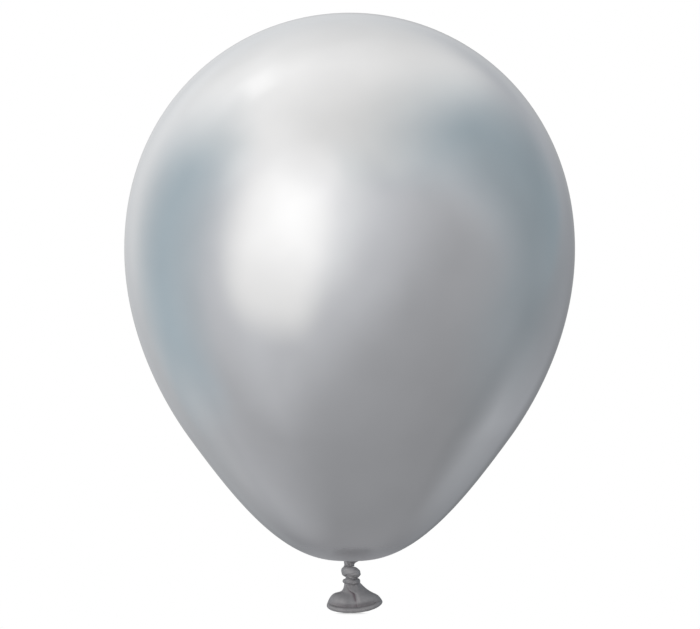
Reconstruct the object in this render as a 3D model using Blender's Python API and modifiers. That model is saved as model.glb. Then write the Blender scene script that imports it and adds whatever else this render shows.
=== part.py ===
"""A small mirror-finish party balloon, blown up and knotted shut, with its crown up and its tail below.

It is one rubber moulding, built here as the pieces that its stretching and knotting make of it: the
blown-up skin, the gathered neck, the overhand knot, the tail below the knot and the rolled lip.

Metres, +Z up. The origin is on the skin's axis at the waist of the neck, just above the knot, where a
ribbon or a stick's cup holds a balloon. The side that the photograph shows faces -Y.
"""

import math

import bmesh
import bpy
from mathutils import Matrix, Vector

MM = 0.001
TOUCH_GAP = 0.15 * MM
POLE_MERGE = 0.01 * MM

# The skin's outline, from the crown down: each point is (radius, height).
CROWN = (0.0, 153.4 * MM)
BELLY = (62.5 * MM, 87.6 * MM)
FLANK = (45.3 * MM, 36.7 * MM)
CHIN = (2.8 * MM, 1.3 * MM)
FLANK_LEAN = math.radians(35.4)
CROWN_FULLNESS = 31.4 * MM
SHOULDER_FULLNESS = 41.4 * MM
BELLY_FULLNESS = 26.4 * MM
FLANK_ABOVE = 4.8 * MM
FLANK_BELOW = 36.5 * MM
CHIN_FULLNESS = 10.3 * MM
SKIN_WALL = 0.3 * MM
SKIN_SEGMENTS = 64
OUTLINE_STEPS = (14, 9, 12)

# The gathered neck, which fills the throat, flares in from it and narrows to the waist.
WAIST_RADIUS = 1.36 * MM
FLARE_RADIUS = 1.5 * MM
NECK_END_RADIUS = 1.2 * MM
NECK_END = -0.1 * MM
NECK_STEPS = 6
NECK_SEGMENTS = 28

# The overhand knot, one strand from the neck's end to the tail. This is half of its way, from the middle
# of the climb behind the knot, round the upper turn and down the middle to the tail. Each point is
# degrees round, distance from the knot's middle, rise and the strand's radius, in millimetres. The other
# half is the same, turned over. The lower turn is then drawn smaller and turned on round the middle.
KNOT_MIDDLE = Vector((0.45 * MM, 0.0, -3.42 * MM))
KNOT_START = math.radians(125)
KNOT_STEPS = 5
STRAND_SIDES = 10
KNOT_HALF_WAY = (
    (0, 0.86, 0.00, 0.56),
    (45, 1.36, 0.62, 0.68),
    (90, 1.74, 1.10, 0.80),
    (135, 1.80, 1.25, 0.84),
    (180, 1.77, 1.14, 0.84),
    (212, 1.50, 0.76, 0.74),
    (236, 0.92, 0.12, 0.56),
    (246, 0.44, -0.50, 0.50),
    (250, 0.16, -1.15, 0.54),
    (250, 0.05, -1.70, 0.80),
    (250, 0.00, -2.05, 1.05),
)
KNOT_WIDTH = {"above": 1.2, "below": 0.98}
KNOT_TALLNESS = {"above": 1.5, "below": 0.88}
KNOT_TURN_BELOW = math.radians(-50)
KNOT_BLEND = 0.25 * MM

# The tail is a skirt between four lines, each a Bezier curve from its top to its rim, of (distance out
# from the balloon's axis, drop below the tail's top) in millimetres.
TAIL_WALL = 0.4 * MM
TAIL_TOP = Vector((0.7 * MM, 0.0, -5.5 * MM))
TAIL_LINES = {
    "right": ((2.7, 0.0), (4.9, 1.2), (8.5, 2.6), (8.35, 4.1)),
    "back": ((1.5, 0.0), (2.2, 1.7), (4.0, 3.1), (4.3, 5.9)),
    "left": ((1.3, 0.0), (1.5, 3.0), (4.7, 0.8), (5.55, 4.8)),
    "front": ((1.5, 0.0), (1.8, 2.1), (3.6, 3.3), (4.25, 6.3)),
}
TAIL_SEGMENTS = 44
TAIL_ROWS = 10

# The fold in the tail's front runs down from its top to the rim, and draws the skirt in by this share.
FOLD_TOP_ANGLE = math.radians(245)
FOLD_RIM_ANGLE = math.radians(292)
FOLD_WIDTH = math.radians(15)
FOLD_DEPTH = 0.3
FOLD_FADE = 0.7

# The rolled lip, a bead that runs round the tail's rim.
LIP_RADIUS = 0.75 * MM
LIP_POINTS = 48
RIM_SLOPE_SHARE = 0.9

COLOURS = {
    "skin": ((0.60, 0.61, 0.63), 0.22, 1.0),
    "relaxed rubber": ((0.24, 0.23, 0.25), 0.42, 0.8),
}


def bezier(points, share):
    """The point a share of the way along a cubic Bezier curve."""
    start, leave, arrive, end = (Vector(point) for point in points)
    rest = 1 - share
    return (
        rest**3 * start
        + 3 * rest**2 * share * leave
        + 3 * rest * share**2 * arrive
        + share**3 * end
    )


def smooth_line(points, steps):
    """A Catmull-Rom curve through the points, with this many steps between each two."""
    line = []
    padded = [points[0] * 2 - points[1], *points, points[-1] * 2 - points[-2]]
    for before, start, end, after in zip(padded, padded[1:], padded[2:], padded[3:]):
        for step in range(steps):
            share = step / steps
            line.append(
                0.5
                * (
                    2 * start
                    + (end - before) * share
                    + (2 * before - 5 * start + 4 * end - after) * share**2
                    + (3 * start - before - 3 * end + after) * share**3
                )
            )
    return [*line, points[-1]]


def material_for(finish):
    """The material for a finish, made the first time that a piece asks for it."""
    colour, roughness, metallic = COLOURS[finish]
    material = bpy.data.materials.get(finish) or bpy.data.materials.new(finish)
    material.use_nodes = True
    shader = material.node_tree.nodes["Principled BSDF"]
    shader.inputs["Base Color"].default_value = (*colour, 1)
    shader.inputs["Roughness"].default_value = roughness
    shader.inputs["Metallic"].default_value = metallic
    return material


def place(name, data, finish):
    """An object with this data and finish, in the balloon's collection."""
    piece = bpy.data.objects.new(name, data)
    bpy.data.collections["mirror balloon"].objects.link(piece)
    data.materials.append(material_for(finish))
    return piece


def turned(name, outline, segments, finish):
    """A piece turned about the axis from an outline that runs down its outer side."""
    mesh = bpy.data.meshes.new(name)
    points = [(radius, 0, height) for radius, height in outline]
    mesh.from_pydata(points, [(i, i + 1) for i in range(len(points) - 1)], [])
    piece = place(name, mesh, finish)
    screw = piece.modifiers.new("turn", "SCREW")
    screw.steps = screw.render_steps = segments
    screw.use_merge_vertices = True
    screw.merge_threshold = POLE_MERGE
    screw.use_smooth_shade = True
    return piece


def tube(name, line, radii, finish, closed=False):
    """A round strand along a line, with its own radius at each point."""
    curve = bpy.data.curves.new(name, "CURVE")
    curve.dimensions = "3D"
    curve.bevel_depth = 1.0
    curve.bevel_resolution = (STRAND_SIDES - 4) // 2
    curve.use_fill_caps = not closed
    spline = curve.splines.new("POLY")
    spline.use_cyclic_u = closed
    spline.points.add(len(line) - 1)
    for point, place_on_line, radius in zip(spline.points, line, radii):
        point.co = (*place_on_line, 1)
        point.radius = radius
    return place(name, curve, finish)


def as_mesh(curve_piece, name):
    """A closed mesh of a curve object, which it takes the place of."""
    seen = curve_piece.evaluated_get(bpy.context.evaluated_depsgraph_get())
    mesh = bpy.data.meshes.new_from_object(seen)
    mesh.name = name
    shape = bmesh.new()
    shape.from_mesh(mesh)
    bmesh.ops.remove_doubles(shape, verts=shape.verts, dist=POLE_MERGE / 10)
    shape.to_mesh(mesh)
    shape.free()
    mesh.materials.clear()
    bpy.data.objects.remove(curve_piece)
    return mesh


def add_wall(piece, thickness):
    """Gives a surface its wall, on the inside of the surface."""
    wall = piece.modifiers.new("wall", "SOLIDIFY")
    wall.thickness = thickness
    wall.offset = -1
    wall.use_even_offset = True


def skin_outline():
    """The skin's outer line from the crown, round the shoulder, belly and flank, to the throat."""
    down_flank = Vector((-math.sin(FLANK_LEAN), -math.cos(FLANK_LEAN)))
    crown, belly, flank, chin = (Vector(point) for point in (CROWN, BELLY, FLANK, CHIN))
    curves = (
        (crown, crown + Vector((CROWN_FULLNESS, 0)), belly + Vector((0, SHOULDER_FULLNESS)), belly),
        (belly, belly - Vector((0, BELLY_FULLNESS)), flank - down_flank * FLANK_ABOVE, flank),
        (flank, flank + down_flank * FLANK_BELOW, chin + Vector((CHIN_FULLNESS, 0)), chin),
    )
    line = [crown]
    for curve, steps in zip(curves, OUTLINE_STEPS):
        line += [bezier(curve, (step + 1) / steps) for step in range(steps)]
    return line


def make_skin():
    """The thin blown-up bag, open only at its throat."""
    skin = turned("envelope", skin_outline(), SKIN_SEGMENTS, "skin")
    add_wall(skin, SKIN_WALL)


def make_neck():
    """The gathered rubber between skin and knot: a plug in the throat, then a waist."""
    plug_radius = CHIN[0] - TOUCH_GAP
    plug_top = CHIN[1] + SKIN_WALL
    chin_height = CHIN[1]
    flare = (
        (plug_radius, chin_height),
        (FLARE_RADIUS, chin_height),
        (WAIST_RADIUS, chin_height / 2),
        (WAIST_RADIUS, 0.0),
    )
    outline = [(0.0, plug_top), (plug_radius, plug_top)]
    outline += [tuple(bezier(flare, step / NECK_STEPS)) for step in range(NECK_STEPS + 1)]
    outline += [(NECK_END_RADIUS, NECK_END), (0.0, NECK_END)]
    turned("neck", outline, NECK_SEGMENTS, "relaxed rubber")


def knot_half(side):
    """The strand's points above the knot's middle for side 1, and the same turned over for side -1."""
    points = []
    for degrees, reach, rise, radius in KNOT_HALF_WAY:
        angle = KNOT_START + side * math.radians(degrees)
        points.append(Vector((reach * math.cos(angle), reach * math.sin(angle), side * rise, radius)) * MM)
    return points


def make_knot():
    """The overhand knot, pulled tight, as one strand that never touches itself."""
    climb_and_down, up = knot_half(1), knot_half(-1)[1:]
    strand = smooth_line([*reversed(up), *climb_and_down], KNOT_STEPS)
    line, radii = [point.to_3d() for point in strand], [point.w for point in strand]
    mesh = as_mesh(tube("knot strand", line, radii, "relaxed rubber"), "knot")
    for vertex in mesh.vertices:
        height = vertex.co.z
        share_above = 1 / (1 + math.exp(-height / KNOT_BLEND))
        width = KNOT_WIDTH["below"] + (KNOT_WIDTH["above"] - KNOT_WIDTH["below"]) * share_above
        place_round = Matrix.Rotation(KNOT_TURN_BELOW * (1 - share_above), 3, "Z") @ vertex.co * width
        place_round.z = height * KNOT_TALLNESS["above" if height > 0 else "below"]
        vertex.co = KNOT_MIDDLE + place_round
    place("knot", mesh, "relaxed rubber")


def fold_depth(angle, share):
    """How far the front fold draws the skirt in, as a share of its width there."""
    middle = FOLD_TOP_ANGLE + (FOLD_RIM_ANGLE - FOLD_TOP_ANGLE) * share
    away = math.remainder(angle - middle, math.tau)
    return FOLD_DEPTH * math.exp(-((away / FOLD_WIDTH) ** 2)) * math.sin(math.pi * share) ** FOLD_FADE


def tail_point(angle, share):
    """The skirt's outer surface at an angle round it and a share of the way down to its rim."""
    lines = {side: bezier(points, share) * MM for side, points in TAIL_LINES.items()}
    across = lines["right"] if math.cos(angle) > 0 else lines["left"]
    along = lines["back"] if math.sin(angle) > 0 else lines["front"]
    drop = across.y * math.cos(angle) ** 2 + along.y * math.sin(angle) ** 2
    inward = 1 - fold_depth(angle, share)
    middle = TAIL_TOP.x * (1 - share) ** 2
    x = middle + (across.x * math.cos(angle) - middle) * inward
    return Vector((x, along.x * math.sin(angle) * inward, TAIL_TOP.z - drop))


def make_tail():
    """The end of the neck below the knot, which springs open into a skirt."""
    mesh = bpy.data.meshes.new("tail")
    shape = bmesh.new()
    bmesh.ops.create_grid(shape, x_segments=TAIL_SEGMENTS, y_segments=TAIL_ROWS + 1, size=1)
    for vertex in shape.verts:
        angle = math.pi * (1 + vertex.co.x)
        row = round((1 - vertex.co.y) / 2 * (TAIL_ROWS + 1))
        vertex.co = TAIL_TOP if row == 0 else tail_point(angle, (row - 1) / TAIL_ROWS)
    bmesh.ops.remove_doubles(shape, verts=shape.verts, dist=POLE_MERGE)
    bmesh.ops.recalc_face_normals(shape, faces=shape.faces)
    shape.to_mesh(mesh)
    shape.free()
    mesh.shade_smooth()
    tail = place("tail", mesh, "relaxed rubber")
    add_wall(tail, TAIL_WALL)


def make_lip():
    """The bead that the mouth was rolled into, seated on the skirt's rim."""
    line = []
    for index in range(LIP_POINTS):
        angle = math.tau * index / LIP_POINTS
        rim = tail_point(angle, 1.0)
        slope = (rim - tail_point(angle, RIM_SLOPE_SHARE)).normalized()
        line.append(rim + slope * (LIP_RADIUS + TOUCH_GAP))
    tube("lip", line, [LIP_RADIUS] * LIP_POINTS, "relaxed rubber", closed=True)


def clear_scene():
    """Removes whatever the scene holds before the balloon is made."""
    for thing in list(bpy.data.objects):
        bpy.data.objects.remove(thing)


clear_scene()
balloon = bpy.data.collections.new("mirror balloon")
bpy.context.scene.collection.children.link(balloon)
make_skin()
make_neck()
make_knot()
make_tail()
make_lip()
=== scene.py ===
"""A small party balloon of mirror-silver rubber, blown up and knotted shut, in a plain white studio.

The rubber is one moulding. From the top down the file makes the tight skin, the gathered neck, the
overhand knot, the tail that springs open below it and the rolled lip, and then the studio's light.
"""

import math

import bmesh
import bpy
from mathutils import Matrix, Vector


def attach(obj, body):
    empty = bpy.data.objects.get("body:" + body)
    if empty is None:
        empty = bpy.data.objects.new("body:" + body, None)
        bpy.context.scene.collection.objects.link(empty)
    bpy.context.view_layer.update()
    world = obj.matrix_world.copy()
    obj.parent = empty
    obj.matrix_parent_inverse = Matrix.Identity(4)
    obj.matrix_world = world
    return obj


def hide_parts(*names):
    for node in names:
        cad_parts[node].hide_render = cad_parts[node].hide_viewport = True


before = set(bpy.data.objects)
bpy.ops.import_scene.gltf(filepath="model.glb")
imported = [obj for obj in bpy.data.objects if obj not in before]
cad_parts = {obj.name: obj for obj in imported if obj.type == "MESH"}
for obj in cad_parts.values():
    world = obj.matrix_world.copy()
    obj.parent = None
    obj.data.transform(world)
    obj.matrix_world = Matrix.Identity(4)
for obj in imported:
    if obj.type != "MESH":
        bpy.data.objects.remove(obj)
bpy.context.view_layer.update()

# Camera. A long lens stands level with the middle of the balloon, straight in front of it, so that the
# picture shows the skin's outline almost as a drawing would.
MM = 0.001
LENS_MM = 200.0
SENSOR_MM = 36.0
PICTURE_WIDTH_PX = 700
PIXEL = 0.27728 * MM
CAMERA_HEIGHT = 69.5 * MM
CAMERA_SIDE = 0.10 * MM

camera_data = bpy.data.cameras.new("camera")
camera_data.lens = LENS_MM
camera_data.sensor_width = SENSOR_MM
camera = bpy.data.objects.new("camera", camera_data)
camera_distance = PICTURE_WIDTH_PX * PIXEL * LENS_MM / SENSOR_MM
camera.location = (CAMERA_SIDE, -camera_distance, CAMERA_HEIGHT)
camera.rotation_euler = (math.radians(90), 0, 0)
bpy.context.scene.collection.objects.link(camera)
bpy.context.scene.camera = camera
bpy.context.scene.view_settings.view_transform = "Standard"

# Skin. The blown-up bag is a film of rubber, full and round above and drawn in to the throat below. It is
# a dipped moulding, so its outline is a smooth line turned round the axis. Next to the throat the knot has
# gathered it, and fine pleats run down from it into the neck.
CROWN = (0.0, 153.0 * MM)
BELLY = (62.4 * MM, 87.6 * MM)
FLANK = (44.0 * MM, 34.8 * MM)
CHIN = (2.8 * MM, 1.3 * MM)
WAIST = (1.41 * MM, 0.0)
NECK_END = (1.52 * MM, -0.32 * MM)
FLANK_LEAN = math.radians(36.2)
CROWN_FULLNESS = 32.8 * MM
SHOULDER_FULLNESS = 39.8 * MM
BELLY_FULLNESS = 27.5 * MM
FLANK_ABOVE = 5.4 * MM
FLANK_BELOW = 22.7 * MM
CHIN_FULLNESS = 15.2 * MM
FLARE_REACH = 0.8 * MM
WAIST_REACH = 0.65 * MM
NECK_END_REACH = 0.14 * MM
SKIN_WALL = 0.3 * MM
SKIN_GRID = {"Around": 193, "Down": 150, "Crowding": 1.6}
CURVE_STEPS = 200
SEAM_GAP = 1e-7
PLEATS = {
    "Pleats": 15.0,
    "Pleat Depth": 0.1 * MM,
    "Pleat Reach": 6 * MM,
    "Irregularity": 1.3,
    "Twist": 420.0,
}
PLEAT_NOISE = {"Scale": 1.9, "Detail": 2.0}
SILVER = (0.60, 0.61, 0.625)
SILVER_EDGE = (0.70, 0.72, 0.74)
# Painted light: the skin's colour is made lighter towards the neck, against the shade that falls there.
NECK_SILVER_PAINTED_LIGHTER = (0.655, 0.655, 0.67)
SILVER_ROUGHNESS = 0.15
NECK_ROUGHNESS = 0.7
NECK_REACH = 16 * MM
DULL_REACH = 8 * MM
CLOUD_DETAIL = 3.0
PEEL_DETAIL = 2.0
SKIN_CLOUDS = {"size": 14 * MM, "span": (0.0, 1.0), "tone": (0.97, 1.03)}
SKIN_CLOUD_DULLNESS = (0.9, 1.1)
SKIN_PEEL = {"size": 0.5 * MM, "strength": 0.3, "height": 0.004 * MM}


def add(tree, kind, inputs=None, **settings):
    """A new node with these settings, each input set to a value or linked to the socket given for it."""
    made = tree.nodes.new(kind)
    for name, value in settings.items():
        setattr(made, name, value)
    for name, value in (inputs or {}).items():
        if isinstance(value, bpy.types.NodeSocket):
            tree.links.new(value, made.inputs[name])
        else:
            made.inputs[name].default_value = value
    return made


def figure(tree, operation, *values):
    """The result of a Math node."""
    return add(tree, "ShaderNodeMath", dict(enumerate(values)), operation=operation).outputs[0]


def arrow(tree, operation, *values):
    """The vector that a Vector Math node gives."""
    return add(tree, "ShaderNodeVectorMath", dict(enumerate(values)), operation=operation).outputs[0]


def scaled(tree, vector, scale):
    """A vector made this many times as long."""
    return add(tree, "ShaderNodeVectorMath", {0: vector, "Scale": scale}, operation="SCALE").outputs[0]


def eased(tree, value, start, end, low=0.0, high=1.0):
    """A value that goes smoothly from low to high as another goes from start to end."""
    limits = {"Value": value, "From Min": start, "From Max": end, "To Min": low, "To Max": high}
    return add(tree, "ShaderNodeMapRange", limits, interpolation_type="SMOOTHSTEP").outputs[0]


def mixed(tree, share, first, second):
    """The colour a share of the way from the first colour to the second."""
    return add(tree, "ShaderNodeMix", {0: share, 6: first, 7: second}, data_type="RGBA").outputs[2]


def upward(tree, output):
    """How far up a point lies or a direction points, from this output of Texture Coordinate."""
    where = add(tree, "ShaderNodeTexCoord").outputs[output]
    return add(tree, "ShaderNodeSeparateXYZ", {0: where}).outputs[2]


def new_tree(name, sizes):
    """A geometry tree that takes and gives geometry, with a named input for each size."""
    tree = bpy.data.node_groups.new(name, "GeometryNodeTree")
    tree.interface.new_socket("Geometry", in_out="INPUT", socket_type="NodeSocketGeometry")
    tree.interface.new_socket("Geometry", in_out="OUTPUT", socket_type="NodeSocketGeometry")
    for size, kind in sizes.items():
        tree.interface.new_socket(size, in_out="INPUT", socket_type="NodeSocket" + kind)
    return tree, tree.nodes.new("NodeGroupInput").outputs, tree.nodes.new("NodeGroupOutput")


def finish_tree(tree, shape, material, out):
    """Shades the shape smooth, makes any copies real and gives it its material."""
    smooth = add(tree, "GeometryNodeSetShadeSmooth", {"Geometry": shape})
    real = add(tree, "GeometryNodeRealizeInstances", {"Geometry": smooth.outputs[0]})
    dressed = add(tree, "GeometryNodeSetMaterial", {"Geometry": real.outputs[0], "Material": material})
    tree.links.new(dressed.outputs[0], out.inputs[0])


def shaped(data, tree, sizes):
    """The plain mesh that a geometry tree makes of this data at these sizes."""
    maker = bpy.data.objects.new("maker", data)
    bpy.context.scene.collection.objects.link(maker)
    nodes = maker.modifiers.new("nodes", "NODES")
    nodes.node_group = tree
    for item in tree.interface.items_tree:
        if item.in_out == "INPUT" and item.name in sizes:
            nodes[item.identifier] = sizes[item.name]
    seen = maker.evaluated_get(bpy.context.evaluated_depsgraph_get())
    mesh = bpy.data.meshes.new_from_object(seen)
    bpy.data.objects.remove(maker)
    return mesh


def outline_curve(name, points):
    """A Bezier curve in the XZ plane from (point, handle before, handle after), each (radius, height)."""
    curve = bpy.data.curves.new(name, "CURVE")
    curve.dimensions = "3D"
    spline = curve.splines.new("BEZIER")
    spline.bezier_points.add(len(points) - 1)
    spline.resolution_u = CURVE_STEPS
    for made, spots in zip(spline.bezier_points, points):
        made.handle_left_type = made.handle_right_type = "FREE"
        made.co, made.handle_left, made.handle_right = ((x, 0, z) for x, z in spots)
    return curve


def turned_film_tree():
    """Turns a stretch of an outline round the axis, with pleats that grow as the radius shrinks."""
    sizes = {"Around": "Int", "Down": "Int", "Crowding": "Float", "Start": "Float", "End": "Float",
             "Pleats": "Float", "Pleat Depth": "Float", "Pleat Reach": "Float", "Irregularity": "Float",
             "Twist": "Float", "Material": "Material"}
    tree, size, out = new_tree("Turned film", sizes)
    grid = add(tree, "GeometryNodeMeshGrid", {"Vertices X": size["Around"], "Vertices Y": size["Down"]})
    spot = add(tree, "ShaderNodeSeparateXYZ", {0: add(tree, "GeometryNodeInputPosition").outputs[0]})
    turn = figure(tree, "MULTIPLY_ADD", spot.outputs[0], math.tau, math.pi)
    to_go = figure(tree, "POWER", figure(tree, "ADD", spot.outputs[1], 0.5), size["Crowding"])
    stretch = figure(tree, "SUBTRACT", size["Start"], size["End"])
    length = figure(tree, "MULTIPLY_ADD", to_go, stretch, size["End"])
    measured = {"Curves": size["Geometry"], "Length": length}
    sample = add(tree, "GeometryNodeSampleCurve", measured, mode="LENGTH")
    spun = [add(tree, "ShaderNodeVectorRotate", {"Vector": sample.outputs[name], "Angle": turn},
                rotation_type="Z_AXIS").outputs[0] for name in ("Position", "Tangent")]
    hoop = add(tree, "ShaderNodeCombineXYZ", {0: figure(tree, "SINE", figure(tree, "MULTIPLY", turn, -1.0)),
                                              1: figure(tree, "COSINE", turn)}).outputs[0]
    inward = arrow(tree, "CROSS_PRODUCT", hoop, spun[1])

    # The pleats twist round the axis with height, and noise on a circle round the axis spaces them unevenly.
    parts = add(tree, "ShaderNodeSeparateXYZ", {0: sample.outputs["Position"]})
    twisted = figure(tree, "MULTIPLY_ADD", parts.outputs[2], size["Twist"], turn)
    spots = {0: figure(tree, "COSINE", twisted), 1: figure(tree, "SINE", twisted)}
    circle = add(tree, "ShaderNodeCombineXYZ", spots).outputs[0]
    noise = add(tree, "ShaderNodeTexNoise", {"Vector": circle, **PLEAT_NOISE}).outputs[0]
    shift = figure(tree, "MULTIPLY", figure(tree, "MULTIPLY", noise, size["Irregularity"]), math.tau)
    wave = figure(tree, "COSINE", figure(tree, "MULTIPLY_ADD", twisted, size["Pleats"], shift))
    fold = figure(tree, "MULTIPLY_ADD", wave, 0.5, 0.5)
    near = eased(tree, parts.outputs[0], size["Pleat Reach"], WAIST[0])
    below = figure(tree, "LESS_THAN", parts.outputs[2], FLANK[1])
    strength = figure(tree, "MULTIPLY", figure(tree, "POWER", near, 2.0), size["Pleat Depth"])
    strength = figure(tree, "MULTIPLY", strength, below)
    pleat = scaled(tree, inward, figure(tree, "MULTIPLY", fold, strength))
    turned = {"Geometry": grid.outputs[0], "Position": spun[0], "Offset": pleat}
    shape = add(tree, "GeometryNodeSetPosition", turned).outputs[0]
    whole = add(tree, "GeometryNodeMergeByDistance", {"Geometry": shape, "Distance": SEAM_GAP}).outputs[0]
    finish_tree(tree, whole, size["Material"], out)
    return tree


def with_wall(mesh, wall):
    """The same surface with a wall of this thickness on its inner side, as a closed mesh."""
    maker = bpy.data.objects.new("maker", mesh)
    bpy.context.scene.collection.objects.link(maker)
    solid = maker.modifiers.new("wall", "SOLIDIFY")
    solid.thickness = wall
    solid.offset = -1
    seen = maker.evaluated_get(bpy.context.evaluated_depsgraph_get())
    walled = bpy.data.meshes.new_from_object(seen)
    bpy.data.objects.remove(maker)
    return walled


def place(name, mesh, node):
    """Puts a finished piece in the scene, riding on the balloon in place of its plain solid."""
    mesh.name = name
    piece = bpy.data.objects.new(name, mesh)
    bpy.context.scene.collection.objects.link(piece)
    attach(piece, "root")
    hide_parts(node)


def new_group(name, inputs, outputs):
    """A shader node group with these number inputs and number outputs."""
    group = bpy.data.node_groups.new(name, "ShaderNodeTree")
    for socket in inputs:
        group.interface.new_socket(socket, in_out="INPUT", socket_type="NodeSocketFloat")
    for socket in outputs:
        group.interface.new_socket(socket, in_out="OUTPUT", socket_type="NodeSocketFloat")
    return group, group.nodes.new("NodeGroupInput").outputs, group.nodes.new("NodeGroupOutput").inputs


def film_grain_group():
    """The rubber's own unevenness: cloudy tone from its silver pigment, and a very fine orange peel."""
    group, given, out = new_group("Film grain", ("Cloud Size", "Peel Size"), ("Cloud", "Peel"))
    where = add(group, "ShaderNodeTexCoord").outputs["Object"]
    for index, detail in enumerate((CLOUD_DETAIL, PEEL_DETAIL)):
        scale = figure(group, "DIVIDE", 1.0, given[index])
        noise = add(group, "ShaderNodeTexNoise", {"Vector": where, "Scale": scale, "Detail": detail})
        group.links.new(noise.outputs[0], out[index])
    return group


def grained(tree, shader, clouds, peel):
    """The clouds in a film of rubber, whose peel also becomes the shader's fine bump."""
    sizes = {"Cloud Size": clouds["size"], "Peel Size": peel["size"]}
    film = add(tree, "ShaderNodeGroup", sizes, node_tree=film_grain)
    rough = {"Strength": peel["strength"], "Distance": peel["height"], "Height": film.outputs["Peel"]}
    bump = add(tree, "ShaderNodeBump", rough)
    tree.links.new(bump.outputs[0], shader.inputs["Normal"])
    return film.outputs["Cloud"]


def tight_silver_material():
    """Rubber blown up tight: bright satin metal, duller where it thickens towards the neck, and painted
    lighter there against the shade.
    """
    material = bpy.data.materials.new("tight silver rubber")
    material.use_nodes = True
    tree = material.node_tree
    shader = tree.nodes["Principled BSDF"]
    shader.inputs["Metallic"].default_value = 1.0
    shader.inputs["Specular Tint"].default_value = (*SILVER_EDGE, 1)
    cloud = grained(tree, shader, SKIN_CLOUDS, SKIN_PEEL)
    height = upward(tree, "Object")
    # The colour is painted lighter towards the neck, and the roughness below makes it duller there.
    stretch = eased(tree, height, 0.0, NECK_REACH)
    colour = mixed(tree, stretch, (*NECK_SILVER_PAINTED_LIGHTER, 1), (*SILVER, 1))
    tone = eased(tree, cloud, *SKIN_CLOUDS["span"], *SKIN_CLOUDS["tone"])
    tree.links.new(scaled(tree, colour, tone), shader.inputs["Base Color"])
    dullness = eased(tree, height, 0.0, DULL_REACH, NECK_ROUGHNESS, SILVER_ROUGHNESS)
    clouded = eased(tree, cloud, *SKIN_CLOUDS["span"], *SKIN_CLOUD_DULLNESS)
    tree.links.new(figure(tree, "MULTIPLY", dullness, clouded), shader.inputs["Roughness"])
    return material


down_flank = Vector((-math.sin(FLANK_LEAN), -math.cos(FLANK_LEAN)))
crown, belly, flank, chin, waist, neck_end = map(Vector, (CROWN, BELLY, FLANK, CHIN, WAIST, NECK_END))
bag_points = [
    (crown, crown, crown + Vector((CROWN_FULLNESS, 0))),
    (belly, belly + Vector((0, SHOULDER_FULLNESS)), belly - Vector((0, BELLY_FULLNESS))),
    (flank, flank - down_flank * FLANK_ABOVE, flank + down_flank * FLANK_BELOW),
    (chin, chin + Vector((CHIN_FULLNESS, 0)), chin - Vector((FLARE_REACH, 0))),
]
neck_points = [
    (waist, waist + Vector((0, WAIST_REACH)), waist - Vector((0, NECK_END_REACH))),
    (neck_end, neck_end + Vector((0, NECK_END_REACH)), neck_end),
]
skin_length = outline_curve("bag outline", bag_points).splines[0].calc_length(resolution=CURVE_STEPS)
outline = outline_curve("outline", bag_points + neck_points)
whole_length = outline.splines[0].calc_length(resolution=CURVE_STEPS)
turned_film = turned_film_tree()
film_grain = film_grain_group()
silver = tight_silver_material()
skin_sizes = {**SKIN_GRID, **PLEATS, "Start": 0.0, "End": skin_length, "Material": silver}
skin_mesh = with_wall(shaped(outline, turned_film, skin_sizes), SKIN_WALL)
place("skin", skin_mesh, "envelope")

# Neck. The same rubber, drawn together by the knot below it until its pleats close the throat. It flares
# out under the skin, narrows to the waist, and runs on into the knot.
NECK_GRID = {"Around": 193, "Down": 24, "Crowding": 1.0}
NECK_LEAN = -0.12 * MM
NECK_SWING = 7 * MM
NECK_SWING_POWER = 6
NECK_CREASES = {"Steps": 6, "Full Depth": 0.18 * MM}
RELAXED = (0.33, 0.325, 0.335)
# A lighter tone of the relaxed rubber higher up, blended in between these two heights.
UPPER_RELAXED = (0.43, 0.425, 0.435)
UPPER_BLEND_HEIGHTS = (-5 * MM, 0.5 * MM)
# Painted shade: the colour painted into the creases of the relaxed rubber.
CREASE_SHADE = (0.24, 0.205, 0.225)
RELAXED_EDGE = (0.30, 0.28, 0.30)
RELAXED_METAL = 0.75
RELAXED_ROUGHNESS = 0.68
CREASE_ROUGHNESS = 0.88
RELAXED_CLOUDS = {"size": 1.6 * MM, "span": (0.2, 0.8), "tone": (0.92, 1.08)}
RELAXED_PEEL = {"size": 0.16 * MM, "strength": 0.5, "height": 0.012 * MM}


def crease_tree():
    """Marks how deep each point lies below the smoothed surface round it, or how much painted shade and
    dullness it already has; the marks paint shade into the relaxed rubber.
    """
    sizes = {"Steps": "Int", "Full Depth": "Float", "Material": "Material"}
    tree, size, out = new_tree("Crease marks", sizes)
    here = add(tree, "GeometryNodeInputPosition").outputs[0]
    blur = add(tree, "GeometryNodeBlurAttribute", {"Iterations": size["Steps"]}, data_type="FLOAT_VECTOR")
    tree.links.new(here, next(socket for socket in blur.inputs if socket.name == "Value" and socket.enabled))
    smoothed = next(socket for socket in blur.outputs if socket.enabled)
    normal = add(tree, "GeometryNodeInputNormal").outputs[0]
    above = arrow(tree, "SUBTRACT", smoothed, here)
    depth = add(tree, "ShaderNodeVectorMath", {0: above, 1: normal}, operation="DOT_PRODUCT").outputs["Value"]
    share = eased(tree, depth, 0.0, size["Full Depth"])
    shade_and_dullness = add(tree, "GeometryNodeInputNamedAttribute", {"Name": "shade_and_dullness"}, data_type="FLOAT").outputs[0]
    marks = {"Geometry": size["Geometry"], "Name": "crease", "Value": figure(tree, "MAXIMUM", share, shade_and_dullness)}
    marked = add(tree, "GeometryNodeStoreNamedAttribute", marks)
    finish_tree(tree, marked.outputs[0], size["Material"], out)
    return tree


def creased(mesh, creases):
    """The mesh in relaxed rubber, with its creases marked for painted shade to this full depth after these
    steps of blur.
    """
    return shaped(mesh, crease_marks, {**creases, "Material": relaxed})


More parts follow.
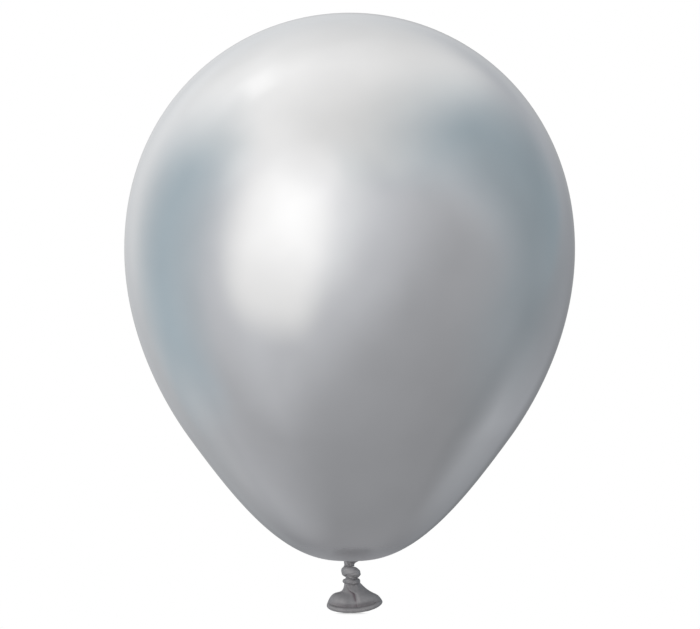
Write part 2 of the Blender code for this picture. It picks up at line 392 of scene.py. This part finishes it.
def capped(mesh):
    """Closes every open end of a mesh with a face."""
    shape = bmesh.new()
    shape.from_mesh(mesh)
    bmesh.ops.holes_fill(shape, edges=[edge for edge in shape.edges if edge.is_boundary])
    shape.to_mesh(mesh)
    shape.free()
    return mesh


def relaxed_material():
    """Rubber that the air doesn't stretch: thicker, darker and duller, and dullest in the creases, with shade
    painted darker into them.
    """
    material = bpy.data.materials.new("relaxed silver rubber")
    material.use_nodes = True
    tree = material.node_tree
    shader = tree.nodes["Principled BSDF"]
    shader.inputs["Metallic"].default_value = RELAXED_METAL
    shader.inputs["Specular Tint"].default_value = (*RELAXED_EDGE, 1)
    cloud = grained(tree, shader, RELAXED_CLOUDS, RELAXED_PEEL)
    upper_share = eased(tree, upward(tree, "Object"), *UPPER_BLEND_HEIGHTS)
    rubber = mixed(tree, upper_share, (*RELAXED, 1), (*UPPER_RELAXED, 1))
    # Painted shade: the crease marks darken the colour in the folds, and also make the rubber duller there.
    fold = add(tree, "ShaderNodeAttribute", attribute_name="crease").outputs["Fac"]
    colour = mixed(tree, fold, rubber, (*CREASE_SHADE, 1))
    tone = eased(tree, cloud, *RELAXED_CLOUDS["span"], *RELAXED_CLOUDS["tone"])
    tree.links.new(scaled(tree, colour, tone), shader.inputs["Base Color"])
    roughness = eased(tree, fold, 0.0, 1.0, RELAXED_ROUGHNESS, CREASE_ROUGHNESS)
    tree.links.new(roughness, shader.inputs["Roughness"])
    return material


crease_marks = crease_tree()
relaxed = relaxed_material()
neck_sizes = {**NECK_GRID, **PLEATS, "Start": skin_length, "End": whole_length, "Material": relaxed}
neck_mesh = capped(shaped(outline, turned_film, neck_sizes))
for vertex in neck_mesh.vertices:
    rise = vertex.co.z / CHIN[1]
    vertex.co.x += NECK_LEAN * (1 - rise) ** 2 + NECK_SWING * rise**NECK_SWING_POWER * (1 - rise)
place("gathered_neck", creased(neck_mesh, NECK_CREASES), "neck")

# Knot. The neck is tied in one overhand knot and pulled tight: a wide upper turn, a climb behind it and a
# smaller lower roll. The strand is a flattened, twisted bundle of pleats, and its turns press together.
KNOT_MIDDLE = Vector((0.45 * MM, 0.0, -3.42 * MM))
KNOT_START = math.radians(125)
KNOT_STEPS = 8
# Each stop of half the strand: its turn round the knot in degrees, and then in millimetres its reach from
# the axis, its rise above the knot's middle and the strand's radius.
KNOT_HALF_WAY = (
    (0, 0.86, 0.00, 0.56),
    (45, 1.36, 0.62, 0.68),
    (90, 1.74, 1.10, 0.80),
    (135, 1.80, 1.25, 0.84),
    (180, 1.77, 1.14, 0.84),
    (212, 1.50, 0.76, 0.74),
    (236, 0.92, 0.12, 0.56),
    (246, 0.44, -0.50, 0.50),
    (250, 0.16, -1.15, 0.54),
    (250, 0.05, -1.70, 0.80),
    (250, 0.00, -2.05, 1.05),
)
KNOT_FLARE = (250, 0.00, -2.35, 1.90)
KNOT_WIDTH = {"above": 1.2, "below": 0.98}
KNOT_TALLNESS = {"above": 1.5, "below": 0.88}
KNOT_TURN_BELOW = math.radians(-50)
KNOT_BLEND = 0.25 * MM
KNOT_LEAN = -0.13
KNOT_VOXEL = 0.06 * MM
KNOT_SMOOTHING = {"factor": 0.5, "rounds": 4}
KNOT_CREASES = {"Steps": 12, "Full Depth": 0.18 * MM}
# Each lump's middle and its reach along the three axes, in millimetres.
KNOT_LUMPS = (
    ((0.50, 0.0, -3.45), (1.62, 2.0, 2.1)),
    ((-1.03, -0.55, -4.38), (0.95, 1.0, 0.72)),
)
LUMP_FINENESS = 4
STRAND_SIZES = {"Along": 260, "Round": 56, "Swell": 1.12, "Pleats": 6.0, "Pleat Depth": 0.1, "Twist": 2.4}
STRAND_NOISE = {"Scale": 1.3, "Detail": 2.0}
STRAND_CHANGE = 5.0
STRAND_UNEVENNESS = 9.0


def smooth_line(points, steps):
    """A Catmull-Rom curve through the points, with this many steps between each two."""
    line = []
    padded = [points[0] * 2 - points[1], *points, points[-1] * 2 - points[-2]]
    for before, start, end, after in zip(padded, padded[1:], padded[2:], padded[3:]):
        for step in range(steps):
            share = step / steps
            straight = 2 * start + (end - before) * share
            bent = (2 * before - 5 * start + 4 * end - after) * share**2
            line.append((straight + bent + (3 * start - before - 3 * end + after) * share**3) / 2)
    return [*line, points[-1]]


def knot_half(side, stops):
    """The strand's points from the knot's middle: side 1 is over its upper turn, and side -1 its lower."""
    points = []
    for degrees, reach, rise, radius in stops:
        angle = KNOT_START + side * math.radians(degrees)
        points.append(Vector((reach * math.cos(angle), reach * math.sin(angle), side * rise, radius)) * MM)
    return points


def strand_curve(points, closed=False):
    """A curve through points that carry the strand's radius as their fourth number."""
    curve = bpy.data.curves.new("strand", "CURVE")
    curve.dimensions = "3D"
    spline = curve.splines.new("POLY")
    spline.use_cyclic_u = closed
    spline.points.add(len(points) - 1)
    for made, point in zip(spline.points, points):
        made.co = (*point.to_3d(), 1)
        made.radius = point.w
    return curve


def strand_tree():
    """A strand of pleated rubber along a curve, whose pleats wind round it as it goes."""
    sizes = {"Along": "Int", "Round": "Int", "Swell": "Float", "Pleats": "Float", "Pleat Depth": "Float",
             "Twist": "Float", "Material": "Material"}
    tree, size, out = new_tree("Pleated strand", sizes)

    def kept(geometry, name, value):
        """The geometry with a number stored on each of its points."""
        inputs = {"Geometry": geometry, "Name": name, "Value": value}
        return add(tree, "GeometryNodeStoreNamedAttribute", inputs).outputs[0]

    def read(name):
        """A number that was stored on the points."""
        return add(tree, "GeometryNodeInputNamedAttribute", {"Name": name}, data_type="FLOAT").outputs[0]

    evenly = {"Curve": size["Geometry"], "Count": size["Along"]}
    way = add(tree, "GeometryNodeResampleCurve", evenly).outputs[0]
    radius = figure(tree, "MULTIPLY", add(tree, "GeometryNodeInputRadius").outputs[0], size["Swell"])
    way = kept(way, "thick", radius)
    way = kept(way, "along", add(tree, "GeometryNodeSplineParameter").outputs["Factor"])
    unit = {"Resolution": size["Round"], "Radius": 1.0}
    ring = add(tree, "GeometryNodeCurvePrimitiveCircle", unit).outputs[0]
    turn = figure(tree, "MULTIPLY", add(tree, "GeometryNodeSplineParameter").outputs["Factor"], math.tau)
    ring = kept(ring, "turn", turn)
    swept = {"Curve": way, "Profile Curve": ring, "Scale": read("thick"), "Fill Caps": True}
    strand = add(tree, "GeometryNodeCurveToMesh", swept).outputs[0]
    twist = figure(tree, "MULTIPLY", size["Twist"], math.tau)
    wound = figure(tree, "MULTIPLY_ADD", read("along"), twist, read("turn"))
    spots = {0: figure(tree, "COSINE", wound), 1: figure(tree, "SINE", wound),
             2: figure(tree, "MULTIPLY", read("along"), STRAND_CHANGE)}
    circle = add(tree, "ShaderNodeCombineXYZ", spots).outputs[0]
    noise = add(tree, "ShaderNodeTexNoise", {"Vector": circle, **STRAND_NOISE}).outputs[0]
    shift = figure(tree, "MULTIPLY", noise, STRAND_UNEVENNESS)
    wave = figure(tree, "SINE", figure(tree, "MULTIPLY_ADD", wound, size["Pleats"], shift))
    fold = figure(tree, "MULTIPLY_ADD", wave, 0.5, 0.5)
    depth = figure(tree, "MULTIPLY", figure(tree, "MULTIPLY", fold, size["Pleat Depth"]), read("thick"))
    normal = add(tree, "GeometryNodeInputNormal").outputs[0]
    offset = scaled(tree, normal, figure(tree, "MULTIPLY", depth, -1.0))
    shape = add(tree, "GeometryNodeSetPosition", {"Geometry": strand, "Offset": offset}).outputs[0]
    finish_tree(tree, shape, size["Material"], out)
    return tree


def tied(mesh):
    """Draws the upper turn taller and wider, and turns the lower one on round the knot's middle."""
    for vertex in mesh.vertices:
        height = vertex.co.z
        share_above = 1 / (1 + math.exp(-height / KNOT_BLEND))
        width = KNOT_WIDTH["below"] + (KNOT_WIDTH["above"] - KNOT_WIDTH["below"]) * share_above
        spot = Matrix.Rotation(KNOT_TURN_BELOW * (1 - share_above), 3, "Z") @ vertex.co * width
        spot.z = height * KNOT_TALLNESS["above" if height > 0 else "below"]
        spot.z += KNOT_LEAN * spot.x * share_above
        vertex.co = KNOT_MIDDLE + spot
    return mesh


def filled(mesh, lumps):
    """The strand with lumps of the same rubber where its turns squeeze it together."""
    shape = bmesh.new()
    shape.from_mesh(mesh)
    for middle, reach in lumps:
        where = Matrix.LocRotScale(Vector(middle) * MM, None, Vector(reach) * MM)
        bmesh.ops.create_icosphere(shape, subdivisions=LUMP_FINENESS, radius=1.0, matrix=where)
    shape.to_mesh(mesh)
    shape.free()
    return mesh


def pressed(mesh, voxel):
    """One closed surface round a strand's turns where they press into each other."""
    maker = bpy.data.objects.new("maker", mesh)
    bpy.context.scene.collection.objects.link(maker)
    joined = maker.modifiers.new("pressed", "REMESH")
    joined.mode = "VOXEL"
    joined.voxel_size = voxel
    soft = maker.modifiers.new("soft", "SMOOTH")
    soft.factor = KNOT_SMOOTHING["factor"]
    soft.iterations = KNOT_SMOOTHING["rounds"]
    seen = maker.evaluated_get(bpy.context.evaluated_depsgraph_get())
    whole = bpy.data.meshes.new_from_object(seen)
    bpy.data.objects.remove(maker)
    return whole


pleated_strand = strand_tree()
upper_half = knot_half(1, [*KNOT_HALF_WAY, KNOT_FLARE])
lower_half = knot_half(-1, KNOT_HALF_WAY)
strand = smooth_line([*reversed(lower_half[1:]), *upper_half], KNOT_STEPS)
knot_mesh = tied(shaped(strand_curve(strand), pleated_strand, STRAND_SIZES))
knot_mesh = pressed(filled(knot_mesh, KNOT_LUMPS), KNOT_VOXEL)
place("overhand_knot", creased(knot_mesh, KNOT_CREASES), "knot")

# Tail. Below the knot the neck's open end springs back to a skirt of limp, thicker rubber. One fold runs down
# its front from under the knot, short pleats start at the knot, and a groove runs round above the rolled
# bead, into whose middle the skirt's last rows turn. The groove and the creases get painted shade and a
# duller finish.
TAIL_WALL = 0.35 * MM
TAIL_TOP = Vector((0.65 * MM, 0.0, -4.7 * MM))
# Each side's outline is a Bezier curve of points (reach from the axis, drop below the top) in millimetres.
TAIL_LINES = {
    "right": ((2.81, 0.0), (6.15, 3.80), (7.40, 2.30), (8.92, 4.93)),
    "back": ((1.6, 0.0), (1.9, 2.6), (4.0, 3.9), (4.3, 6.7)),
    "left": ((1.54, 0.0), (1.83, 4.86), (4.41, 0.60), (6.22, 5.88)),
    "front": ((1.6, 0.0), (1.9, 2.6), (4.9, 4.2), (3.7, 6.96)),
}
SIDE_POWER = 2.3
TAIL_AROUND = 320
TAIL_DOWN = 90
TAIL_CROWN_SHARE = 0.06
TAIL_CREASES = {"Steps": 120, "Full Depth": 0.24 * MM}
FOLD_ANGLES = (math.radians(238), math.radians(286))
FOLD_TURN = (0.02, 0.52)
FOLD_WIDTHS = {"left": math.radians(29), "right": math.radians(6)}
FOLD_DEPTH = 0.26
FOLD_FADE = 0.6
FOLD_LAP = math.radians(5)
LEDGE_DEPTH = 0.2
LEDGE_SHARE = 0.42
LEDGE_SPREAD = 0.16
GROOVE_DEPTH = 0.12
GROOVE_SHARE = 0.97
GROOVE_SPREAD = 0.10
# Painted shade with a duller finish in the groove above the bead: its strength, where it starts and how it
# grows.
GROOVE_SHADE_AND_DULLNESS = 0.8
GROOVE_SHADE_FROM = 0.79
GROOVE_SHADE_POWER = 1.5
BEAD_SEATS = {"ends": Vector((0.1, 0.75)) * MM, "front": Vector((0.65, 0.0)) * MM}
BEAD_SEAT_POWER = 8
RIM_SLOPE_SHARE = 0.9
RIM_STEP = 0.01
HEM_SHARE = 0.05
HEM_REACH = 0.85
KNOT_PLEATS = 9
KNOT_PLEAT_DEPTH = 0.08
KNOT_PLEAT_FADE = 3.0
KNOT_PLEAT_TWIST = 0.5
# Each unevenness of these pleats: how far it shifts them, how often it comes round and where it starts.
KNOT_PLEAT_SHIFTS = ((0.35, 2, 1.0), (0.2, 5, 0.0))


def bezier(points, share):
    """The point a share of the way along a cubic Bezier curve."""
    start, leave, arrive, end = (Vector(point) for point in points)
    rest = 1 - share
    return rest**3 * start + 3 * rest**2 * share * leave + 3 * rest * share**2 * arrive + share**3 * end


def folded(angle, share):
    """Where the folds carry a point of the skirt round, and how far in as a share of the skirt's width."""
    turned = min(max((share - FOLD_TURN[0]) / (FOLD_TURN[1] - FOLD_TURN[0]), 0.0), 1.0)
    middle = FOLD_ANGLES[0] + (FOLD_ANGLES[1] - FOLD_ANGLES[0]) * turned**2 * (3 - 2 * turned)
    strength = math.sin(math.pi * share) ** FOLD_FADE
    away = math.remainder(angle - middle, math.tau)
    steps = away / FOLD_WIDTHS["left" if away < 0 else "right"]
    front = FOLD_DEPTH * strength * math.exp(-(steps**2))
    lap = FOLD_LAP * strength * (steps / 2) ** 2 * math.exp(2 - steps) if away > 0 else 0.0
    if away < 0:
        ledge = math.exp(-(((share - LEDGE_SHARE) / LEDGE_SPREAD) ** 2)) * max(-math.sin(angle), 0.0)
        front += LEDGE_DEPTH * ledge * (1 - math.exp(-(steps**2)))
    groove = GROOVE_DEPTH * math.exp(-(((share - GROOVE_SHARE) / GROOVE_SPREAD) ** 2)) * math.sin(angle) ** 2
    uneven = angle + KNOT_PLEAT_TWIST * share
    uneven += sum(shift * math.sin(times * angle + start) for shift, times, start in KNOT_PLEAT_SHIFTS)
    wave = 0.5 + 0.5 * math.cos(KNOT_PLEATS * uneven)
    return angle - lap, front + groove + KNOT_PLEAT_DEPTH * wave * (1 - share) ** KNOT_PLEAT_FADE


def tail_point(angle, share, drawn_in=0.0):
    """The skirt's outer surface at an angle round it and a share of the way down, drawn in by a share."""
    lines = {side: bezier(points, share) * MM for side, points in TAIL_LINES.items()}
    across = lines["right"] if math.cos(angle) > 0 else lines["left"]
    along = lines["back"] if math.sin(angle) > 0 else lines["front"]
    drop = along.y + (across.y - along.y) * abs(math.cos(angle)) ** SIDE_POWER
    middle = TAIL_TOP.x * (1 - share) ** 2
    x = middle + (across.x * math.cos(angle) - middle) * (1 - drawn_in)
    return Vector((x, along.x * math.sin(angle) * (1 - drawn_in), TAIL_TOP.z - drop))


def bead_middle(angle):
    """The middle of the rolled bead at an angle round the rim."""
    rim = tail_point(angle, 1.0)
    slope = (rim - tail_point(angle, RIM_SLOPE_SHARE)).normalized()
    round_rim = (tail_point(angle + RIM_STEP, 1.0) - tail_point(angle - RIM_STEP, 1.0)).normalized()
    inward = round_rim.cross(slope).normalized()
    seat = BEAD_SEATS["front"].lerp(BEAD_SEATS["ends"], math.cos(angle) ** BEAD_SEAT_POWER)
    return rim + slope * seat.x + inward * seat.y


def skirt_point(angle, share):
    """The folded skirt: its first rows run out from under the knot, and its last ones into the bead."""
    below = min(max(share - TAIL_CROWN_SHARE, 0.0) / (1 - TAIL_CROWN_SHARE - HEM_SHARE), 1.0)
    turned, drawn_in = folded(angle, below)
    point = TAIL_TOP.lerp(tail_point(turned, below, drawn_in), min(share / TAIL_CROWN_SHARE, 1.0))
    hem = max(share - 1 + HEM_SHARE, 0.0) / HEM_SHARE
    return point.lerp(bead_middle(angle), HEM_REACH * hem)


def groove_shade_and_dullness(angle, share):
    """How much painted shade and dullness the groove above the bead gets, most at the front and back."""
    near = max(share - GROOVE_SHADE_FROM, 0.0) / (1 - GROOVE_SHADE_FROM)
    return GROOVE_SHADE_AND_DULLNESS * near**GROOVE_SHADE_POWER * math.sin(angle) ** 2


def film_round(around, down, point_at, shade_and_dullness_at):
    """A film that closes round on itself, from functions of an angle and of the share of the way down."""
    mesh = bpy.data.meshes.new("film")
    shape = bmesh.new()
    bmesh.ops.create_grid(shape, x_segments=around, y_segments=down, size=1)
    shade_and_dullness = shape.verts.layers.float.new("shade_and_dullness")
    for vertex in shape.verts:
        angle, share = math.pi * (1 + vertex.co.x), (1 - vertex.co.y) / 2
        vertex.co = point_at(angle, share)
        vertex[shade_and_dullness] = shade_and_dullness_at(angle, share)
    bmesh.ops.remove_doubles(shape, verts=shape.verts, dist=SEAM_GAP)
    shape.to_mesh(mesh)
    shape.free()
    mesh.shade_smooth()
    return mesh


tail_mesh = with_wall(film_round(TAIL_AROUND, TAIL_DOWN, skirt_point, groove_shade_and_dullness), TAIL_WALL)
place("flared_tail", creased(tail_mesh, TAIL_CREASES), "tail")

# Lip. The rim was rolled up on itself when the balloon was dipped, so it ends in a soft round bead, with a
# fine groove where the roll meets the skirt.
LIP_RADIUS = 0.75 * MM
LIP_POINTS = 96
LIP_SIZES = {"Along": 400, "Round": 40, "Swell": 1.0, "Pleats": 3.0, "Pleat Depth": 0.04, "Twist": 6.0}
LIP_CREASES = {"Steps": 6, "Full Depth": 0.03 * MM}

lip_angles = [math.tau * index / LIP_POINTS for index in range(LIP_POINTS)]
lip_line = [Vector((*bead_middle(angle), LIP_RADIUS)) for angle in lip_angles]
lip_mesh = shaped(strand_curve(lip_line, closed=True), pleated_strand, LIP_SIZES)
place("rolled_lip", creased(lip_mesh, LIP_CREASES), "lip")

# Floor. A plain white sheet just under the lip, glowing evenly white, with a faint soft painted shadow of the
# lip on it. Only the camera sees it, so it doesn't light the balloon from below.
FLOOR_HEIGHT = -13.5 * MM
FLOOR_HALF = 3.0
SHADOW_MIDDLE = (0.5 * MM, 1.4 * MM)
SHADOW_REACH = (4.0 * MM, 3.0 * MM)
SHADOW_EDGE = (0.55, 1.3)
SHADOW_TONE = 0.66

floor_mesh = bpy.data.meshes.new("floor")
floor_shape = bmesh.new()
bmesh.ops.create_grid(floor_shape, x_segments=1, y_segments=1, size=FLOOR_HALF)
bmesh.ops.translate(floor_shape, verts=floor_shape.verts, vec=(0, 0, FLOOR_HEIGHT))
floor_shape.to_mesh(floor_mesh)
floor_shape.free()
floor = bpy.data.objects.new("floor", floor_mesh)
bpy.context.scene.collection.objects.link(floor)
floor.visible_diffuse = floor.visible_glossy = floor.visible_shadow = False

paper = bpy.data.materials.new("white studio sheet")
paper.use_nodes = True
tree = paper.node_tree
tree.nodes.remove(tree.nodes["Principled BSDF"])
where = add(tree, "ShaderNodeTexCoord").outputs["Object"]
shifted = arrow(tree, "SUBTRACT", where, (*SHADOW_MIDDLE, FLOOR_HEIGHT))
shrunk = arrow(tree, "DIVIDE", shifted, (*SHADOW_REACH, 1.0))
away = add(tree, "ShaderNodeVectorMath", {0: shrunk}, operation="LENGTH").outputs["Value"]
# The painted shadow: the sheet's glow is darker round the spot under the lip.
tone = eased(tree, away, *SHADOW_EDGE, SHADOW_TONE, 1.0)
grey = add(tree, "ShaderNodeCombineColor", {0: tone, 1: tone, 2: tone}).outputs[0]
glow = add(tree, "ShaderNodeEmission", {"Color": grey})
clear = add(tree, "ShaderNodeBsdfTransparent")
backing = add(tree, "ShaderNodeNewGeometry").outputs["Backfacing"]
sheet = add(tree, "ShaderNodeMixShader", {0: backing, 1: glow.outputs[0], 2: clear.outputs[0]})
tree.links.new(sheet.outputs[0], tree.nodes["Material Output"].inputs["Surface"])
floor_mesh.materials.append(paper)

# Studio. The balloon hangs in a white room whose big soft lights show only in its own skin: a key softbox
# beside the camera, a strip high on the left, cloth overhead and low in front, and cool windows at the sides.
WHITE = (1.0, 1.0, 1.0)
WARM = (1.02, 1.0, 0.975)
PLAIN = (1.0, 1.0, 1.02)
COOL = (0.86, 1.0, 1.07)
SHARP = 0.05
CRISP = 0.2
BLURRED = 0.45
HAZY = 0.85
SOFTEST = 1.6
SQUARE = 0.0
ROUNDED = 0.25
ROOM = {"floor": 0.41, "walls": 0.76, "ceiling": 1.4}
FLOOR_TO_WALLS = (-0.75, 0.25)
WALLS_TO_CEILING = (0.35, 0.9)
SOFTBOX_INPUTS = ("Bearing", "Height", "Roll", "Half Width", "Half Tall", "Edge", "Corner")
SOFTBOX_TURNS = (("Bearing", "Z_AXIS", -1.0), ("Height", "X_AXIS", 1.0), ("Roll", "Y_AXIS", 1.0))
LEAST_AHEAD = 0.001
# Each light: its name, tint and brightness, its bearing from the camera's side towards the right, then its
# height, width, tallness and roll, all in degrees, and how soft its edge is and how round its corners are.
LIGHTS = (
    ("left bounce", PLAIN, 0.88, -80, -20, 85, 5, 45, SOFTEST, SQUARE),
    ("front bounce", PLAIN, 0.96, -20, -10, 95, 50, 25, SOFTEST, SQUARE),
    ("left wall", WARM, 2.0, -125, 45, 80, 30, 30, HAZY, SQUARE),
    ("back wall", WARM, 1.25, -150, 10, 80, 25, -35, HAZY, SQUARE),
    ("back floor", PLAIN, 0.27, 150, -20, 75, 35, 20, BLURRED, SQUARE),
    ("left window", COOL, 0.7, -105, 10, 45, 85, -20, BLURRED, SQUARE),
    ("right blind", COOL, 0.6, 80, 45, 45, 125, 60, BLURRED, SQUARE),
    ("right window", COOL, 0.42, 105, 0, 45, 50, -5, HAZY, SQUARE),
    ("grey cloth", PLAIN, 0.5, 30, -35, 45, 105, -45, HAZY, SQUARE),
    ("front panel", PLAIN, 0.85, -10, -30, 60, 5, 35, BLURRED, SQUARE),
    ("back bounce", PLAIN, 0.84, 140, -25, 30, 5, 35, BLURRED, SQUARE),
    ("ceiling cloth", WARM, 1.05, -70, 80, 105, 75, -20, HAZY, SQUARE),
    ("strip glow", WARM, 1.6, -120, 65, 20, 30, -20, HAZY, SQUARE),
    ("key", WARM, 1.15, -38, 0, 47, 60, -15, CRISP, ROUNDED),
    ("key core", WARM, 1.9, -30, 15, 25, 25, -10, HAZY, SQUARE),
    ("strip", WARM, 1.55, -112, 58, 15, 10, 20, SHARP, SQUARE),
)


def lit(tint, brightness):
    """The colour of a light or a wall of this tint and brightness."""
    return (*(part * brightness for part in tint), 1)


def softbox_group():
    """How much of a direction a soft-edged rectangular light fills, from 0 to 1."""
    group, given, out = new_group("Softbox", SOFTBOX_INPUTS, ("Share",))
    towards = add(group, "ShaderNodeTexCoord").outputs["Generated"]
    for socket, axis, sign in SOFTBOX_TURNS:
        angle = figure(group, "MULTIPLY", figure(group, "RADIANS", given[socket]), sign)
        turned = add(group, "ShaderNodeVectorRotate", {"Vector": towards, "Angle": angle}, rotation_type=axis)
        towards = turned.outputs[0]
    parts = add(group, "ShaderNodeSeparateXYZ", {0: towards})
    ahead = figure(group, "MAXIMUM", figure(group, "MULTIPLY", parts.outputs[1], -1.0), LEAST_AHEAD)
    beyond = []
    for part, half in ((0, "Half Width"), (2, "Half Tall")):
        across = figure(group, "ABSOLUTE", figure(group, "DIVIDE", parts.outputs[part], ahead))
        straight = figure(group, "SUBTRACT", given[half], given["Corner"])
        beyond.append(figure(group, "SUBTRACT", across, straight))
    squares = (figure(group, "POWER", figure(group, "MAXIMUM", part, 0.0), 2.0) for part in beyond)
    corner = figure(group, "SQRT", figure(group, "ADD", *squares))
    inner = figure(group, "MINIMUM", figure(group, "MAXIMUM", *beyond), 0.0)
    distance = figure(group, "SUBTRACT", figure(group, "ADD", corner, inner), given["Corner"])
    share = eased(group, distance, given["Edge"], figure(group, "MULTIPLY", given["Edge"], -1.0))
    facing = figure(group, "LESS_THAN", parts.outputs[1], 0.0)
    group.links.new(figure(group, "MULTIPLY", share, facing), out["Share"])
    return group


world = bpy.data.worlds.new("studio")
bpy.context.scene.world = world
world.use_nodes = True
tree = world.node_tree
up = upward(tree, "Generated")
room = mixed(tree, eased(tree, up, *FLOOR_TO_WALLS), lit(PLAIN, ROOM["floor"]), lit(PLAIN, ROOM["walls"]))
room = mixed(tree, eased(tree, up, *WALLS_TO_CEILING), room, lit(WARM, ROOM["ceiling"]))
softbox = softbox_group()
for name, tint, brightness, bearing, height, width, tallness, roll, edge, corner in LIGHTS:
    half_width, half_tall = (math.tan(math.radians(angle / 2)) for angle in (width, tallness))
    sizes = dict(zip(SOFTBOX_INPUTS, (bearing, height, roll, half_width, half_tall, edge, corner)))
    share = add(tree, "ShaderNodeGroup", sizes, node_tree=softbox, label=name).outputs["Share"]
    room = mixed(tree, share, room, lit(tint, brightness))
seen_by_camera = add(tree, "ShaderNodeLightPath").outputs["Is Camera Ray"]
sky = mixed(tree, seen_by_camera, room, (*WHITE, 1))
tree.links.new(sky, tree.nodes["Background"].inputs["Color"])
